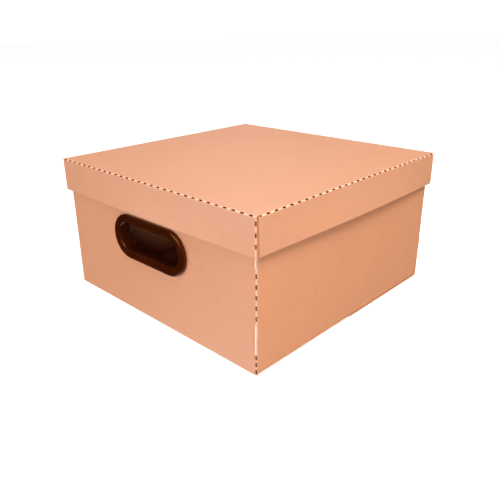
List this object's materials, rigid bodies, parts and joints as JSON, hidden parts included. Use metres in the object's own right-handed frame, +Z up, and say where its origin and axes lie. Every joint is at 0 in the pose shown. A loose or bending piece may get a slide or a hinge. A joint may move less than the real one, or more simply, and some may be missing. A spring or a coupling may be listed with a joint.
{
  "type": "storage box",
  "caption": "Square fold-up storage box of embossed plastic sheet with a lift-off lid, slit corners that stand a little open and an oval snap-in hand grip in two opposite walls.",
  "frame": {"origin": "centre of the box's underside", "axes": "+Z up, -Y towards the front wall with a hand grip, +X to the right of it"},
  "size_m": [0.293, 0.293, 0.15],
  "materials": {
    "lid_sheet": "salmon polypropylene sheet with a fine linen emboss, satin",
    "body_sheet": "salmon polypropylene sheet with a fine linen emboss, satin",
    "grip_plastic": "polished dark copper-brown moulding"
  },
  "bodies": {
    "box": {"wall_front": "body_sheet", "wall_back": "body_sheet", "wall_left": "body_sheet", "wall_right": "body_sheet", "seam_flap": "body_sheet", "rim_left": "body_sheet", "rim_right": "body_sheet", "inner_wall_left": "body_sheet", "inner_wall_right": "body_sheet", "base_flap_front": "body_sheet", "base_flap_back": "body_sheet", "base_flap_left": "body_sheet", "base_flap_right": "body_sheet", "grip_front": "grip_plastic", "grip_back": "grip_plastic"},
    "lid": {"lid_top": "lid_sheet"},
    "lid_skirt_front": {"lid_skirt_front": "lid_sheet", "lid_flap_front_left": "lid_sheet", "lid_flap_front_right": "lid_sheet"},
    "lid_skirt_back": {"lid_skirt_back": "lid_sheet", "lid_flap_back_left": "lid_sheet", "lid_flap_back_right": "lid_sheet"},
    "lid_skirt_left": {"lid_skirt_left": "lid_sheet"},
    "lid_skirt_right": {"lid_skirt_right": "lid_sheet"}
  },
  "joints": [
    {"name": "lid_lift", "type": "slide", "parent": "box", "child": "lid", "axis": [0, 0, 1], "range_m": [0, 0.1]},
    {"name": "lid_front_fold", "type": "hinge", "parent": "lid", "child": "lid_skirt_front", "pos_m": [0, -0.1447, 0.1482], "axis": [-1, 0, 0], "range_deg": [0, 90]},
    {"name": "lid_back_fold", "type": "hinge", "parent": "lid", "child": "lid_skirt_back", "pos_m": [0, 0.1447, 0.1482], "axis": [1, 0, 0], "range_deg": [0, 90]},
    {"name": "lid_left_fold", "type": "hinge", "parent": "lid", "child": "lid_skirt_left", "pos_m": [-0.1447, 0, 0.1482], "axis": [0, 1, 0], "range_deg": [0, 90]},
    {"name": "lid_right_fold", "type": "hinge", "parent": "lid", "child": "lid_skirt_right", "pos_m": [0.1447, 0, 0.1482], "axis": [0, -1, 0], "range_deg": [0, 90]}
  ]
}
